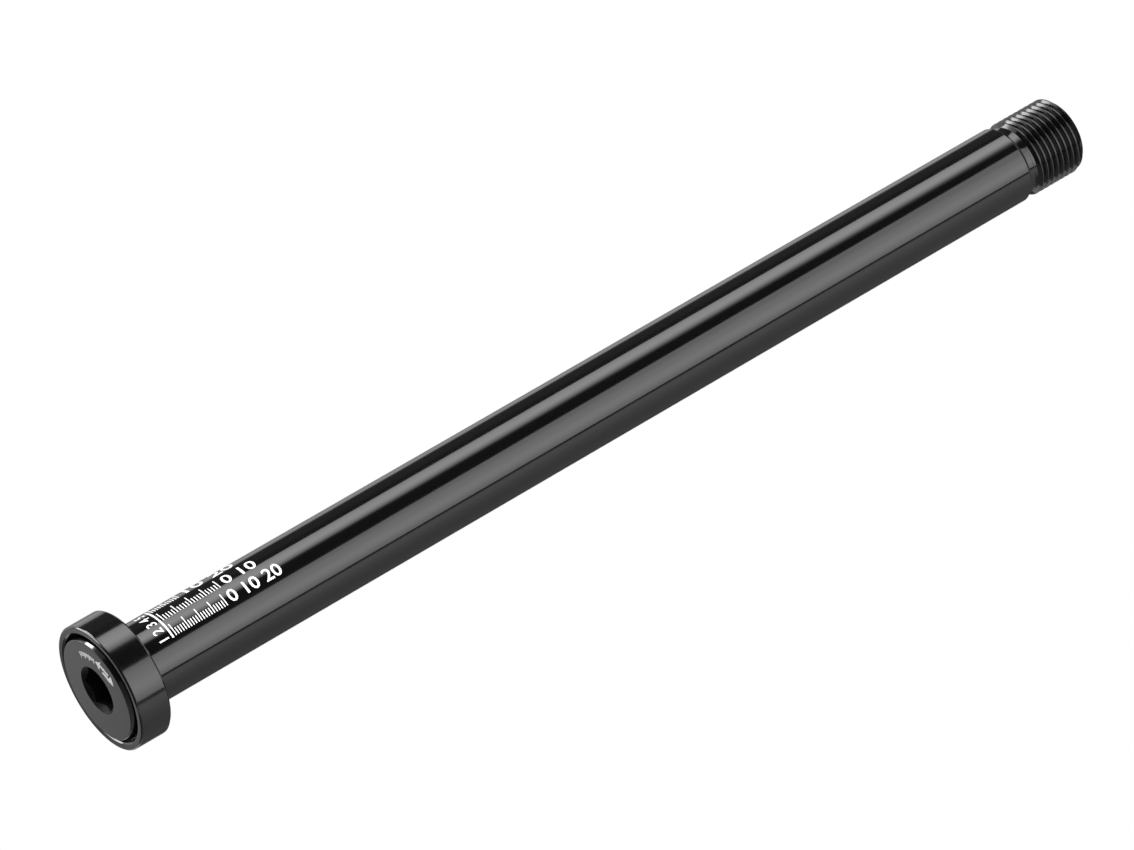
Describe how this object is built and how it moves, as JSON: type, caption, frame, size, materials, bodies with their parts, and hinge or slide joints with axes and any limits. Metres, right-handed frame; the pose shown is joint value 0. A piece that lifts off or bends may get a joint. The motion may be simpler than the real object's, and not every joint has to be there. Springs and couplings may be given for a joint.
{
  "type": "bicycle thru axle",
  "caption": "Hollow bolt-on thru axle for a bicycle wheel, with a low hex-socket head, a free-turning collar under the head and a fine thread at the far end.",
  "frame": {"origin": "centre of the head's flat face, which the axle stands on", "axes": "+Z along the shaft from the head to the threaded end, +X through a corner of the hexagon socket"},
  "size_m": [0.019, 0.019, 0.1763],
  "materials": {
    "axle": "black anodised, satin",
    "collar": "black anodised, satin",
    "ring": "matt black rubber"
  },
  "bodies": {
    "axle": {"axle": "axle", "retaining_ring": "ring"},
    "collar": {"head_collar": "collar"}
  },
  "joints": [
    {"name": "collar_spin", "type": "hinge", "parent": "axle", "child": "collar", "pos_m": [0, 0, 0.0037], "axis": [0, 0, 1], "continuous": true}
  ]
}
